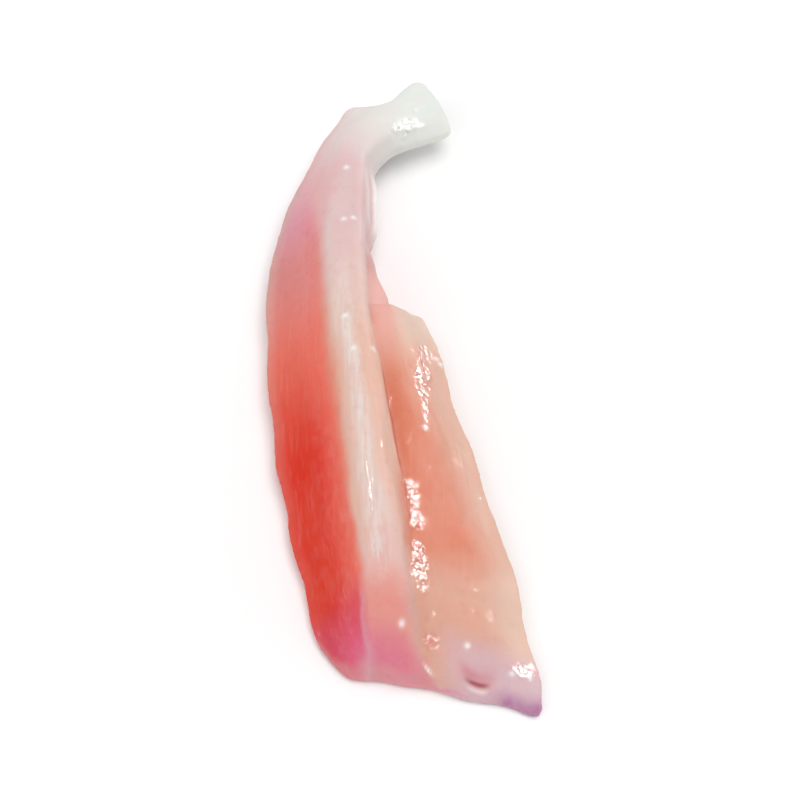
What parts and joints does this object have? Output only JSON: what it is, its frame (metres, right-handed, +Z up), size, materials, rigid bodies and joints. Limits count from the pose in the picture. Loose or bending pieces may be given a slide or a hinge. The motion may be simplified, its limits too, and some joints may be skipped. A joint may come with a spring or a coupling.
{
  "type": "raw chicken breast cartilage piece",
  "caption": "Raw keel cartilage piece with a rounded crest, a swept flesh wing, a thicker side lobe and a hooked white tail; lies flat.",
  "frame": {"origin": "middle of the piece's bounding box, on the surface it rests on", "axes": "+Z up through the crest, +Y along the piece from the cut end to the hooked tail, +X to the right, on the side of the lobe"},
  "size_m": [0.032, 0.0816, 0.015],
  "materials": {
    "raw_flesh": "wet, translucent raw flesh, deep salmon red on the left flank, pale along the crest, ivory at the tail, magenta at the cut end"
  },
  "bodies": {
    "root": {"cartilage_piece": "raw_flesh"}
  },
  "joints": []
}
